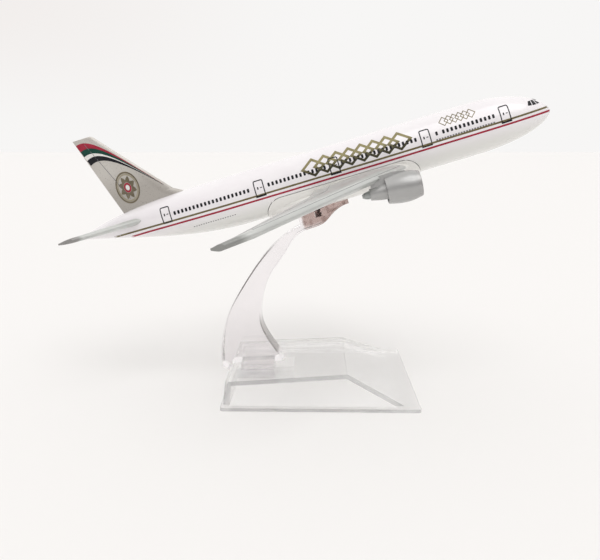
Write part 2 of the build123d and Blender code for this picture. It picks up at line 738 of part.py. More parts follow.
def base_shell():
    """Clear open-bottomed base with a flange and the arm's socket."""
    flange = Box(BASE_LENGTH, BASE_WIDTH, FLANGE, align=(Align.CENTER, Align.CENTER, Align.MIN))
    flange = fillet(flange.edges().filter_by(Axis.Z), BASE_CORNER)
    shell = flange + plinth(0) - plinth(BASE_WALL)
    socket_length = SOCKET_FRONT_X - REAR_WALL_X
    socket_width = ARM_THICKNESS + 2 * (TENON_CLEARANCE + SOCKET_WALL)
    socket_floor = TENON_BOTTOM_Z - SOCKET_FLOOR
    socket = Pos(SOCKET_FRONT_X - socket_length / 2, 0, socket_floor)
    socket_block = socket * Box(
        socket_length, socket_width, PLATE_FRONT_Z, align=(Align.CENTER, Align.CENTER, Align.MIN)
    )
    shell += socket_block & plinth(0)
    return shell - tenon_block(TENON_CLEARANCE)


# ---- assembly ---------------------------------------------------------------
def centred(placed):
    """The same pieces, moved along X so that the origin is under the middle of the whole model."""
    boxes = [shape.bounding_box() for shape in placed.values()]
    middle = (min(box.min.X for box in boxes) + max(box.max.X for box in boxes)) / 2
    print("moved along X by", round(-middle, 4))
    return {name: Pos(-middle, 0, 0) * shape for name, shape in placed.items()}


def build():
    """Every named piece in its place."""
    body = fuselage_body()
    sides = {"left": 1, "right": -1}
    nodes = {}
    tenons = [tailplane_tenon(side, GLUE_GAP) for side in sides.values()]
    nodes["fuselage"] = fuselage(body, fin_tenon(GLUE_GAP), tenons)
    reliefs = []
    for side in sides.values():
        reliefs.append(engine_place(side) * pylon_plate(GLUE_GAP))
        reliefs.append(engine_place(side) * cowl_relief())
    nodes["wing_casting"] = wing_casting(reliefs)
    nodes["wing_screws"] = wing_screws()
    nodes["fin"] = fin_blade() - body + fin_tenon(0)
    nodes["belly_bush"] = belly_bush()
    for name, side in sides.items():
        place = engine_place(side)
        nodes["tailplane_" + name] = tailplane_blade(side) - body + tailplane_tenon(side, 0)
        strut = pylon_plate(0)
        core_piece = core()
        cowl_piece = cowl()
        nodes["pylon_" + name] = place * (strut - core_piece - cowl_piece)
        nodes["cowl_" + name] = place * cowl_piece
        nodes["inlet_ring_" + name] = place * inlet_ring()
        nodes["fan_" + name] = place * fan()
        nodes["core_" + name] = place * core_piece
        nodes["exhaust_plug_" + name] = place * exhaust_plug()
    placed = {name: AIRCRAFT * shape for name, shape in nodes.items()}
    placed["mount_pin"] = AIRCRAFT * mount_pin()
    placed["stand_arm"] = stand_arm()
    placed["base_shell"] = base_shell()
    return centred(placed)


def main():
    os.makedirs("parts", exist_ok=True)
    for name, shape in build().items():
        export_step(shape, "parts/" + name + ".step")
        print(name, len(shape.solids()), round(shape.volume, 1))


main()
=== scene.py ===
# %% [markdown]
# # A desktop airliner on a clear stand
# A desktop airliner is a painted die-cast model, about 1:450, on a moulded clear arm and base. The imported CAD
# parts already have their true shapes, so this lesson adds what a model maker adds after casting: paint,
# printed lines, doors, windows and a clear plastic that bends light.

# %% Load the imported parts
import json
import math

import bmesh
import bpy
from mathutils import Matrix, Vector


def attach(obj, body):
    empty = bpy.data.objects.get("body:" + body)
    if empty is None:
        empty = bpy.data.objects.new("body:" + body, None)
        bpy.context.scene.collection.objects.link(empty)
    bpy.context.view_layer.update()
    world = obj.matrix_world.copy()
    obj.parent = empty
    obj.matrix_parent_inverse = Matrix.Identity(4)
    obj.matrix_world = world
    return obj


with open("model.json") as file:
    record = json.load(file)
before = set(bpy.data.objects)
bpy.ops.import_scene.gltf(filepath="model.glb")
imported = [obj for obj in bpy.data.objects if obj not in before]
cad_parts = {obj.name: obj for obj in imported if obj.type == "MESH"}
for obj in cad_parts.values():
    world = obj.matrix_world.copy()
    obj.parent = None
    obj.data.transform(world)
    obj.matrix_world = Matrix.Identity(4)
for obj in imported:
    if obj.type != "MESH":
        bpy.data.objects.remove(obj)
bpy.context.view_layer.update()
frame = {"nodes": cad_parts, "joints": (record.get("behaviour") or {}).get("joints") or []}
NODES = frame["nodes"]
MM = 0.001

# %% [markdown]
# ## Measuring along the aircraft
# The aircraft is tilted nose-up on its stand, so places on it are easier to give in its own level frame: a
# station is the distance behind the nose tip and a height is above the centre line. The swivel joint knows
# the tilt: its axis is the aircraft's own upright, and it passes through the flat pad under the belly.

# %% The level frame of the aircraft
PIN_STATION = 82.0
BELLY_DEPTH = 9.8
swivel = next(joint for joint in frame["joints"] if joint["name"] == "aircraft_swivel")
UP = Vector(swivel["axis"])
PAD = Vector(swivel["pos_m"])
AHEAD = Vector((UP.z, 0, -UP.x))
SIDEWAYS = Vector((0, 1, 0))
PITCH_UP = math.atan2(AHEAD.z, AHEAD.x)


def place(station, height, y=0.0):
    """Point of the aircraft's level frame, in the row frame."""
    along = AHEAD * (PIN_STATION - station) + UP * (height + BELLY_DEPTH) + SIDEWAYS * y
    return PAD + along * MM


print("nose-up angle:", round(math.degrees(PITCH_UP), 2), "degrees")

# %% [markdown]
# ## Camera
# A camera at desk height, a little above the model and square to its side, shows the whole livery. A lens of
# about 38 mm close to the model gives the gentle perspective of a hand-held product picture.

# %% Camera
CAMERA_PLACE = (2.46, -213.91, 80.65)
CAMERA_LOOKS_DOWN = 11.88
CAMERA_TURN = 1.37
camera_data = bpy.data.cameras.new("camera")
camera_data.lens = 37.72
camera_data.sensor_width = 36.0
camera = bpy.data.objects.new("camera", camera_data)
camera.location = Vector(CAMERA_PLACE) * MM
camera.rotation_euler = (math.radians(90 - CAMERA_LOOKS_DOWN), 0, math.radians(CAMERA_TURN))
bpy.context.scene.collection.objects.link(camera)
bpy.context.scene.camera = camera
camera_data.clip_start = 0.01
camera_data.clip_end = 20.0
bpy.context.scene.view_settings.view_transform = "Standard"
print("camera distance in mm:", round(camera.location.length / MM))

# %% [markdown]
# ## Helpers for nodes and colours
# Hex colours are what a person reads off a paint chart, and Blender wants linear light, so one function turns
# one into the other. A second one adds a node with its settings and its links, which keeps each tree short.
# The finishes below change along the aircraft, so masks are made from three more: a smooth ramp, the product
# of some masks, and a tint that a mask lays over what a finish has so far.


# %% Node and colour helpers
def linear(hex_colour):
    """Linear RGBA of an sRGB hex colour."""
    channels = [int(hex_colour[i:i + 2], 16) / 255 for i in (1, 3, 5)]
    return [c / 12.92 if c <= 0.04045 else ((c + 0.055) / 1.055) ** 2.4 for c in channels] + [1.0]


def add(tree, kind, settings=None, **links):
    """Adds a node. Settings are its properties, and links are input values or other nodes' outputs."""
    node = tree.nodes.new(kind)
    for key, value in (settings or {}).items():
        setattr(node, key, value)
    for key, value in links.items():
        by_number = key.startswith("in") and key[2:].isdigit()
        socket = node.inputs[int(key[2:])] if by_number else node.inputs[key.replace("_", " ")]
        if isinstance(value, bpy.types.NodeSocket):
            tree.links.new(value, socket)
        else:
            socket.default_value = value
    return node


def new_material(name):
    """Material with its Principled shader, which the finish then fills in."""
    material = bpy.data.materials.new(name)
    material.use_nodes = True
    return material, material.node_tree, material.node_tree.nodes["Principled BSDF"]


# %% Masks
def ramp(tree, value, low, high):
    """Smooth mask that is off at one value and on at the other."""
    return add(
        tree, "ShaderNodeMapRange", {"interpolation_type": "SMOOTHSTEP"},
        Value=value, From_Min=low, From_Max=high, To_Min=0.0, To_Max=1.0,
    ).outputs[0]


def product(tree, *masks):
    """Mask that is on where all the given masks are."""
    whole = masks[0]
    for mask in masks[1:]:
        whole = add(tree, "ShaderNodeMath", {"operation": "MULTIPLY"}, in0=whole, in1=mask).outputs[0]
    return whole


def tint_where(material, mask, tint):
    """Mixes another tint into a finish where a mask is on."""
    tree = material.node_tree
    shader = tree.nodes["Principled BSDF"]
    before = shader.inputs["Base Color"].links[0].from_socket
    mixed = add(tree, "ShaderNodeMix", {"data_type": "RGBA"}, in0=mask, in6=before, in7=tint)
    tree.links.new(mixed.outputs[2], shader.inputs["Base Color"])


# %% [markdown]
# ## Studio
# A clear stand and gloss paint only look right if they have something to reflect. The light here is a bright
# dome overhead and behind, a darker band low down on the viewer's side, and one broad soft sun. The band
# gives the fuselage its shaded side and draws dark lines along the edges of the clear plastic. Each pair of
# numbers is where a mask starts and where it is full, along one axis of the direction looked in.

# %% Studio light
BACKDROP = linear("#F7F6F5")
BACKDROP_SHADED = linear("#F2EEEC")
LOW_BAND = linear("#6F6B6E")
DOME = linear("#FFFDFB")
DOME_OVERHEAD = (0.05, 0.75)
DOME_BEHIND = (0.1, 0.9)
CORNER_LEFT = (0.05, -0.5)
CORNER_HIGH = (0.0, 0.2)
world = bpy.data.worlds.new("studio")
bpy.context.scene.world = world
world.use_nodes = True
tree = world.node_tree
direction = add(tree, "ShaderNodeTexCoord").outputs["Generated"]
parts = add(tree, "ShaderNodeSeparateXYZ", in0=direction).outputs
overhead = ramp(tree, parts["Z"], *DOME_OVERHEAD)
behind = ramp(tree, parts["Y"], *DOME_BEHIND)
lit = add(tree, "ShaderNodeMath", {"operation": "MAXIMUM"}, in0=overhead, in1=behind)
dome = add(tree, "ShaderNodeMix", {"data_type": "RGBA"}, in0=lit.outputs[0], in6=LOW_BAND, in7=DOME)
corner = product(tree, ramp(tree, parts["X"], *CORNER_LEFT), ramp(tree, parts["Z"], *CORNER_HIGH))
wall = add(tree, "ShaderNodeMix", {"data_type": "RGBA"}, in0=corner, in6=BACKDROP, in7=BACKDROP_SHADED)
seen = add(tree, "ShaderNodeLightPath")
studio = add(
    tree, "ShaderNodeMix", {"data_type": "RGBA"},
    in0=seen.outputs["Is Camera Ray"], in6=dome.outputs[2], in7=wall.outputs[2],
)
background = tree.nodes["Background"]
tree.links.new(studio.outputs[2], background.inputs["Color"])
background.inputs["Strength"].default_value = 1.0
print("studio nodes:", len(tree.nodes))

# %% Broad soft sun
sun_data = bpy.data.lights.new("broad_sun", "SUN")
sun_data.energy = 1.0
sun_data.angle = math.radians(50)
sun = bpy.data.objects.new("broad_sun", sun_data)
sun.rotation_euler = (math.radians(28), math.radians(14), 0)
bpy.context.scene.collection.objects.link(sun)

# %% [markdown]
# ## Floor
# The model stands on a large matt sheet. The sheet lies a hair under the desk plane, because two faces at one
# height flicker black where the clear flange would lie exactly on it.

# %% Floor
FLOOR_HALF = 12.0
FLOOR_DROP = 0.06 * MM
floor_data = bpy.data.meshes.new("floor")
corners = [(x * FLOOR_HALF, y * FLOOR_HALF, -FLOOR_DROP) for x, y in ((-1, -1), (1, -1), (1, 1), (-1, 1))]
floor_data.from_pydata(corners, [], [(0, 1, 2, 3)])
floor = bpy.data.objects.new("floor", floor_data)
bpy.context.scene.collection.objects.link(floor)
sheet_finish, tree, shader = new_material("matt_white_sweep")
shader.inputs["Base Color"].default_value = linear("#EBEAE9")
shader.inputs["Roughness"].default_value = 0.9
floor_data.materials.append(sheet_finish)
print("floor is", round(FLOOR_DROP / MM, 2), "mm under the desk plane")

# %% [markdown]
# ## Paint
# Die-cast zinc is sprayed with gloss enamel, which leaves a faint orange-peel, so the coat is a smooth layer
# over a softly mottled colour. One function makes every sprayed finish, and each finish is named for what it
# is. A mask on height greys the belly, which is painted shade for the underside turned from the light. A mask
# on span gives the wings their paler roots and darker tips, and the darker tips are painted shade on the
# angled tip facets.


# %% Sprayed enamel
def level_coordinates(tree):
    """Object coordinates turned into the aircraft's level frame, in metres."""
    where = add(tree, "ShaderNodeTexCoord").outputs["Object"]
    turned = add(
        tree, "ShaderNodeMapping", {"vector_type": "TEXTURE"},
        Vector=where, Location=place(PIN_STATION, 0), Rotation=(0, -PITCH_UP, 0),
    )
    return turned.outputs["Vector"]


def enamel(name, colour, shade, roughness, metallic=0.0, coat=0.0, mottle_mm=9.0, grain_mm=0.5, peel=0.02):
    """Sprayed finish: a colour that drifts towards a shade, with fine grain and orange-peel."""
    material, tree, shader = new_material(name)
    where = level_coordinates(tree)
    mottle = add(tree, "ShaderNodeTexNoise", Vector=where, Scale=1 / (mottle_mm * MM), Detail=2.0)
    grain = add(tree, "ShaderNodeTexNoise", Vector=where, Scale=1 / (grain_mm * MM), Detail=3.0)
    drift = add(tree, "ShaderNodeMapRange", Value=mottle.outputs["Fac"], From_Min=0.35, From_Max=0.65)
    colours = add(
        tree, "ShaderNodeMix", {"data_type": "RGBA"},
        in0=drift.outputs[0], in6=linear(colour), in7=linear(shade),
    )
    tree.links.new(colours.outputs[2], shader.inputs["Base Color"])
    rough = add(
        tree, "ShaderNodeMapRange", Value=grain.outputs["Fac"],
        From_Min=0.3, From_Max=0.7, To_Min=roughness * 0.85, To_Max=roughness * 1.2,
    )
    tree.links.new(rough.outputs[0], shader.inputs["Roughness"])
    bump = add(
        tree, "ShaderNodeBump", Height=grain.outputs["Fac"], Strength=peel, Distance=0.1 * MM,
    )
    tree.links.new(bump.outputs["Normal"], shader.inputs["Normal"])
    shader.inputs["Metallic"].default_value = metallic
    shader.inputs["Coat Weight"].default_value = coat
    shader.inputs["Coat Roughness"].default_value = 0.04
    return material


# %% Finishes that change with height or span
def shade_by_height(material, colour, from_mm, to_mm):
    """Blends a finish into another colour between two heights of the level frame."""
    tree = material.node_tree
    height = add(tree, "ShaderNodeSeparateXYZ", in0=level_coordinates(tree)).outputs["Z"]
    tint_where(material, ramp(tree, height, from_mm * MM, to_mm * MM), linear(colour))


def shade_by_span(material, colour, from_mm, to_mm):
    """Blends a finish into another colour between two distances from the centre line."""
    tree = material.node_tree
    sideways = add(tree, "ShaderNodeSeparateXYZ", in0=level_coordinates(tree)).outputs["Y"]
    span = add(tree, "ShaderNodeMath", {"operation": "ABSOLUTE"}, in0=sideways).outputs[0]
    tint_where(material, ramp(tree, span, from_mm * MM, to_mm * MM), linear(colour))


# %% The finishes
WHITE = enamel("gloss_white_enamel_sprayed", "#F3F0F2", "#EFEBEE", 0.22, coat=0.6)
# Painted shade: the belly greys below the centre line, standing for the underside in shadow.
shade_by_height(WHITE, "#E6E6E2", -1.0, -6.0)
PLUG = enamel("exhaust_plug_enamel_sprayed", "#A6A9A8", "#9C9F9E", 0.34, metallic=0.5, coat=0.3)
WING = enamel("wing_enamel_over_fairing_with_painted_tip_shade", "#C4C6C3", "#BCBFBC", 0.34, metallic=0.2, coat=0.3)
# Painted shade: the last few millimetres of each wing darken, standing for the angled tip facets in shadow.
shade_by_span(WING, "#8F908D", 65.0, 67.5)
shade_by_span(WING, "#ECEBE7", 9.8, 8.8)
TAILPLANE = enamel("tailplane_enamel_sprayed", "#CFD1CE", "#C6C9C6", 0.34, metallic=0.2, coat=0.3)
# Painted shade: the tailplane tips darken, standing for the rounded tip caps in shadow.
shade_by_span(TAILPLANE, "#8F8D8B", 21.0, 22.6)
PEARL = enamel("pearl_fin_enamel_sprayed", "#C9C5BE", "#BFB9B3", 0.3, metallic=0.15, coat=0.4, mottle_mm=14.0)
shade_by_height(PEARL, "#AEA9A2", 22.0, 12.0)
NACELLE = enamel(
    "grey_nacelle_enamel_sprayed", "#B3B3B2", "#A9A9A8", 0.34, metallic=0.45, coat=0.3, peel=0.008,
)
INLET = enamel("inlet_lip_silver_sprayed", "#B4B3B2", "#ABAAA9", 0.3, metallic=0.5)
FAN_BLACK = enamel("dark_fan_moulding", "#3A3B3E", "#2F3033", 0.45)
STEEL = enamel("zinc_plated_steel_turned", "#B9BCBE", "#A4A8AB", 0.25, metallic=1.0, grain_mm=0.2)
BRASS = enamel("brass_bush_turned", "#C9A45C", "#B8934C", 0.25, metallic=1.0, grain_mm=0.2)
print("sprayed finishes:", [m.name for m in bpy.data.materials])

# %% [markdown]
# ## Clear plastic
# The arm and base are injection-moulded clear polystyrene: a full transmission shader. Its index is set below
# the real 1.59, because light from a dome all round would otherwise draw every hidden edge far too dark. A
# share of the rays goes straight through, and so do all shadow and diffuse rays, which keeps the shadow of a
# clear piece pale. Real mouldings are never optically flat, so a slow ripple from a noise texture bends what
# is seen through them. The head of the arm carries a brownish tint with darker blotches, and dark tints on
# the swept edges of the arm are a painted reflection of the dark side of the room.


# %% Clear polystyrene
def clear_plastic(name, tint, ripple_mm, ripple, index, straight):
    """Clear plastic with a slow ripple from the mould and faint scuffs. Straight is a share from 0 to 1."""
    material, tree, shader = new_material(name)
    where = add(tree, "ShaderNodeTexCoord").outputs["Object"]
    wave = add(tree, "ShaderNodeTexNoise", Vector=where, Scale=1 / (ripple_mm * MM), Detail=1.0)
    bump = add(tree, "ShaderNodeBump", Height=wave.outputs["Fac"], Strength=ripple, Distance=0.3 * MM)
    tree.links.new(bump.outputs["Normal"], shader.inputs["Normal"])
    shader.inputs["Transmission Weight"].default_value = 1.0
    shader.inputs["IOR"].default_value = index
    scuff = add(tree, "ShaderNodeTexNoise", Vector=where, Scale=1 / (2.5 * MM), Detail=4.0)
    worn = add(tree, "ShaderNodeMapRange", Value=scuff.outputs["Fac"], From_Min=0.45, From_Max=0.75)
    rough = add(tree, "ShaderNodeMapRange", Value=worn.outputs[0], To_Min=0.01, To_Max=0.07)
    tree.links.new(rough.outputs[0], shader.inputs["Roughness"])
    hazed = [channel * 0.97 for channel in linear(tint)[:3]] + [1.0]
    tinted = add(
        tree, "ShaderNodeMix", {"data_type": "RGBA"}, in0=worn.outputs[0], in6=linear(tint), in7=hazed,
    )
    tree.links.new(tinted.outputs[2], shader.inputs["Base Color"])
    path = add(tree, "ShaderNodeLightPath").outputs
    soft = add(
        tree, "ShaderNodeMath", {"operation": "MAXIMUM"},
        in0=path["Is Shadow Ray"], in1=path["Is Diffuse Ray"],
    )
    soft = add(tree, "ShaderNodeMath", {"operation": "MAXIMUM"}, in0=soft.outputs[0], in1=straight)
    passed = add(tree, "ShaderNodeBsdfTransparent", Color=linear("#FDFDFD"))
    seen = add(
        tree, "ShaderNodeMixShader",
        in0=soft.outputs[0], in1=shader.outputs["BSDF"], in2=passed.outputs["BSDF"],
    )
    tree.links.new(seen.outputs["Shader"], tree.nodes["Material Output"].inputs["Surface"])
    return material


# %% Brownish head tint and painted edge reflections of the arm
HEAD_TINT_ABOVE = (-16.2 * MM, -15.0 * MM)
HEAD_TINT_AHEAD = (-6.2 * MM, -5.2 * MM)
HEAD_BLOT_MM = 2.2
ARM_BOW_HEIGHT = 18 * MM
ARM_BOW = 12.5
EDGE_FACING = (0.98, 0.9)
REAR_EDGE = (-22.5 * MM, -23.5 * MM)
REAR_ABOVE = (22 * MM, 34 * MM)
FRONT_EDGE = (-20.5 * MM, -19.5 * MM)
FRONT_BELOW = (26 * MM, 20 * MM)
FRONT_ABOVE_HEEL = (9.8 * MM, 11.2 * MM)


def tint_head_brownish(material):
    """Brownish tint in the head of the arm, with darker blotches where a noise texture peaks."""
    tree = material.node_tree
    level = add(tree, "ShaderNodeSeparateXYZ", in0=level_coordinates(tree))
    ahead, height = level.outputs["X"], level.outputs["Z"]
    head_area = product(tree, ramp(tree, height, *HEAD_TINT_ABOVE), ramp(tree, ahead, *HEAD_TINT_AHEAD))
    blot_noise = add(
        tree, "ShaderNodeTexNoise", Vector=level_coordinates(tree), Scale=1 / (HEAD_BLOT_MM * MM), Detail=3.0,
    )
    blot = product(tree, head_area, ramp(tree, blot_noise.outputs["Fac"], 0.56, 0.64))
    tint_where(material, head_area, linear("#AD958F"))
    tint_where(material, blot, linear("#7A5F58"))


def paint_edge_reflections(material):
    """Painted reflection of the dark room on the swept edges of the arm: the rear one above, the front one at
    its foot.
    """
    tree = material.node_tree
    normal = add(tree, "ShaderNodeSeparateXYZ", in0=add(tree, "ShaderNodeNewGeometry").outputs["Normal"])
    flat = add(tree, "ShaderNodeMath", {"operation": "ABSOLUTE"}, in0=normal.outputs["Y"]).outputs[0]
    spot = add(tree, "ShaderNodeSeparateXYZ", in0=add(tree, "ShaderNodeTexCoord").outputs["Object"]).outputs
    height = spot["Z"]
    rise = add(tree, "ShaderNodeMath", {"operation": "SUBTRACT"}, in0=height, in1=ARM_BOW_HEIGHT).outputs[0]
    bow = product(tree, rise, rise, ARM_BOW)
    across = add(tree, "ShaderNodeMath", {"operation": "SUBTRACT"}, in0=spot["X"], in1=bow).outputs[0]
    edge = ramp(tree, flat, *EDGE_FACING)
    rear = product(tree, edge, ramp(tree, across, *REAR_EDGE), ramp(tree, height, *REAR_ABOVE))
    front = product(
        tree, edge, ramp(tree, across, *FRONT_EDGE), ramp(tree, height, *FRONT_BELOW),
        ramp(tree, height, *FRONT_ABOVE_HEEL),
    )
    # Painted reflection: dark tints on the rear edge above and the front edge at its foot stand for the dark
    # room.
    tint_where(material, rear, linear("#35302F"))
    tint_where(material, front, linear("#6E6967"))


# %% The two clear plastics
ARM_CLEAR = clear_plastic("clear_arm_polystyrene_moulded", "#F6F3F5", 7.0, 0.08, 1.28, 0.12)
tint_head_brownish(ARM_CLEAR)
paint_edge_reflections(ARM_CLEAR)
BASE_CLEAR = clear_plastic("clear_base_polystyrene_moulded", "#FEFEFE", 11.0, 0.06, 1.12, 0.35)
print("clear plastics:", ARM_CLEAR.name, "and", BASE_CLEAR.name)

# %% [markdown]
# ## Painting the parts
# A real model is sprayed part by part before it is assembled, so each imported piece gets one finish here. The
# port and starboard pieces share theirs, so the table names them once.

# %% Give every CAD piece its finish
FINISHES = {
    "fuselage": WHITE, "wing_casting": WING, "fin": PEARL, "tailplane": TAILPLANE, "pylon": NACELLE,
    "cowl": NACELLE, "inlet_ring": INLET, "fan": FAN_BLACK, "core": NACELLE, "exhaust_plug": PLUG,
    "wing_screws": STEEL, "mount_pin": STEEL, "belly_bush": BRASS, "stand_arm": ARM_CLEAR,
    "base_shell": BASE_CLEAR,
}
for name, node in NODES.items():
    finish = FINISHES[name.removesuffix("_left").removesuffix("_right")]
    node.data.materials.clear()
    node.data.materials.append(finish)
print("painted", len(NODES), "CAD pieces")

# %% [markdown]
# ## Printing inks
# The livery is pad-printed: a soft silicone pad picks up ink and rolls it over the curved casting. Ink is
# matter than the enamel under it and a few hundredths of a millimetre thick.


# %% Inks
def ink(name, colour, shade, roughness=0.38, metallic=0.0):
    """Pad-printed ink, slightly uneven where the pad lifted."""
    printed = enamel(
        name, colour, shade, roughness, metallic=metallic, mottle_mm=1.5, grain_mm=0.15, peel=0.01,
    )
    printed.node_tree.nodes["Principled BSDF"].inputs["Specular IOR Level"].default_value = 0.2
    return printed


RED = ink("red_printing_ink", "#A93345", "#9C2C3E")
GREEN = ink("green_printing_ink", "#1B4A3E", "#163F35")
BLACK = ink("black_printing_ink", "#212126", "#19191E")
WHITE_INK = ink("white_printing_ink", "#EDEBE8", "#E4E2DF")
GOLD = ink("gold_printing_ink", "#7C7250", "#6A6044", metallic=0.25)
TITLES = ink("graded_gold_printing_ink", "#968E68", "#877F5C", metallic=0.25)
CREST = ink("dull_gold_printing_ink", "#7D7462", "#6E6655", metallic=0.2)
CREST_PALE = ink("pale_gold_printing_ink", "#A79F8C", "#9B937F", metallic=0.2)
shade_by_height(TITLES, "#4A4736", 4.6, 1.4)
GREY = ink("grey_printing_ink", "#7E7D80", "#727174")
print("finishes and inks:", len(bpy.data.materials))

# %% [markdown]
# ## A stamp that rolls a print onto the casting
# Each print is first drawn flat in stations and heights, as a thin closed slab. A Geometry Nodes tree repeats
# it in a row, throws a ray from every point at the casting and moves the point to where the ray lands, so the
# print follows the curve exactly. One tree makes the window rows, the doors, the lines and the fin bands.

# %% Geometry Nodes tree for the stamp
INK_PROUD = 0.035
INK_SUNK = 0.05
RAY_START = 0.1
stamp_tree = bpy.data.node_groups.new("roll_print_onto_casting", "GeometryNodeTree")
SOCKETS = (
    ("Print", "NodeSocketGeometry"), ("Casting", "NodeSocketObject"), ("Count", "NodeSocketInt"),
    ("Pitch", "NodeSocketVector"), ("Press Direction", "NodeSocketVector"), ("Proud", "NodeSocketFloat"),
    ("Sunk", "NodeSocketFloat"), ("Ink", "NodeSocketMaterial"),
)
for socket_name, socket_kind in SOCKETS:
    stamp_tree.interface.new_socket(socket_name, in_out="INPUT", socket_type=socket_kind)
stamp_tree.interface.new_socket("Print", in_out="OUTPUT", socket_type="NodeSocketGeometry")
SOCKET_IDS = {
    item.name: item.identifier for item in stamp_tree.interface.items_tree if item.in_out == "INPUT"
}
print("stamp inputs:", list(SOCKET_IDS))

# %% Repeat the print and find the casting
given = add(stamp_tree, "NodeGroupInput").outputs
line = add(stamp_tree, "GeometryNodeMeshLine", Count=given["Count"], Offset=given["Pitch"])
copies = add(stamp_tree, "GeometryNodeInstanceOnPoints", Points=line.outputs[0], Instance=given["Print"])
real = add(stamp_tree, "GeometryNodeRealizeInstances", Geometry=copies.outputs[0])
casting = add(stamp_tree, "GeometryNodeObjectInfo", Object=given["Casting"])
layer = add(stamp_tree, "GeometryNodeInputNamedAttribute", {"data_type": "FLOAT"}, Name="layer")
back_off = add(
    stamp_tree, "ShaderNodeVectorMath", {"operation": "SCALE"},
    in0=given["Press Direction"], Scale=-RAY_START,
)
spot = add(stamp_tree, "GeometryNodeInputPosition")
source = add(
    stamp_tree, "ShaderNodeVectorMath", {"operation": "ADD"}, in0=spot.outputs[0], in1=back_off.outputs[0],
)
ray = add(
    stamp_tree, "GeometryNodeRaycast", Target_Geometry=casting.outputs["Geometry"],
    Source_Position=source.outputs[0], Ray_Direction=given["Press Direction"], Ray_Length=1.0,
)

# %% Lay the ink on, proud of the surface and a little into it
thickness = add(stamp_tree, "ShaderNodeMath", {"operation": "ADD"}, in0=given["Proud"], in1=given["Sunk"])
raised = add(
    stamp_tree, "ShaderNodeMath", {"operation": "MULTIPLY"}, in0=layer.outputs[0], in1=thickness.outputs[0],
)
above = add(
    stamp_tree, "ShaderNodeMath", {"operation": "SUBTRACT"}, in0=raised.outputs[0], in1=given["Sunk"],
)
lift = add(
    stamp_tree, "ShaderNodeVectorMath", {"operation": "SCALE"},
    in0=ray.outputs["Hit Normal"], Scale=above.outputs[0],
)
landed = add(
    stamp_tree, "ShaderNodeVectorMath", {"operation": "ADD"},
    in0=ray.outputs["Hit Position"], in1=lift.outputs[0],
)
rolled = add(
    stamp_tree, "GeometryNodeSetPosition", Geometry=real.outputs[0],
    Selection=ray.outputs["Is Hit"], Position=landed.outputs[0],
)
inked = add(stamp_tree, "GeometryNodeSetMaterial", Geometry=rolled.outputs[0], Material=given["Ink"])
add(stamp_tree, "NodeGroupOutput", Print=inked.outputs[0])
print("stamp tree nodes:", len(stamp_tree.nodes))


# %% [markdown]
# ## Drawing a print flat
# A print is drawn as rows of points that faces are strung between, in two layers, so it is a closed body and
# not a loose sheet. A line is a stroke: a band of even width along a path. A last function presses what was
# drawn onto a casting from one or more directions and hands the plain mesh to the aircraft's body.


# %% Flat prints as thin slabs
def slab(bm, rows, closed=False):
    """Closed two-layer slab from rows of points. Closed joins the last row to the first."""
    layer_of = bm.verts.layers.float.get("layer") or bm.verts.layers.float.new("layer")
    sheets = []
    for level in (1.0, 0.0):
        sheet = []
        for row in rows:
            made = [bm.verts.new(point) for point in row]
            for vert in made:
                vert[layer_of] = level
            sheet.append(made)
        sheets.append(sheet)
    top, low = sheets
    count = len(rows)
    last = len(rows[0]) - 1
    for i in range(count if closed else count - 1):
        j = (i + 1) % count
        for k in range(last):
            bm.faces.new((top[i][k], top[i][k + 1], top[j][k + 1], top[j][k]))
            bm.faces.new((low[i][k], low[j][k], low[j][k + 1], low[i][k + 1]))
        bm.faces.new((top[i][0], top[j][0], low[j][0], low[i][0]))
        bm.faces.new((top[j][last], top[i][last], low[i][last], low[j][last]))
    for i in () if closed else (0, count - 1):
        for k in range(last):
            bm.faces.new((top[i][k], top[i][k + 1], low[i][k + 1], low[i][k]))


# %% Strokes
def stroke(path, width, closed=False, step=0.5):
    """Rows of a band of even width along a path of (station, height) corners, mitred at each corner."""
    fine = []
    legs = len(path) if closed else len(path) - 1
    for i in range(legs):
        start, end = Vector(path[i]), Vector(path[(i + 1) % len(path)])
        pieces = max(1, math.ceil((end - start).length / step))
        fine += [start.lerp(end, n / pieces) for n in range(pieces)]
    if not closed:
        fine.append(Vector(path[-1]))
    rows = []
    for i, point in enumerate(fine):
        before = fine[i - 1] if closed or i else fine[0]
        after = fine[(i + 1) % len(fine)] if closed or i < len(fine) - 1 else fine[-1]
        into = (point - before).normalized() if before != point else (after - point).normalized()
        out = (after - point).normalized() if after != point else into
        mean = (into + out).normalized()
        across = Vector((-mean.y, mean.x)) * (width / 2 / max(0.4, mean.dot(out)))
        rows.append((point + across, point - across))
    return rows


# %% From the flat drawing to the aircraft
def on_side(rows):
    """Rows of (station, height) as points in the row frame."""
    return [[place(station, height) for station, height in row] for row in rows]


def on_top(rows):
    """Rows of (station, y) as points in the row frame."""
    return [[place(station, 0, y) for station, y in row] for row in rows]


# %% Press a print onto a casting
BOTH_SIDES = (-SIDEWAYS, SIDEWAYS)


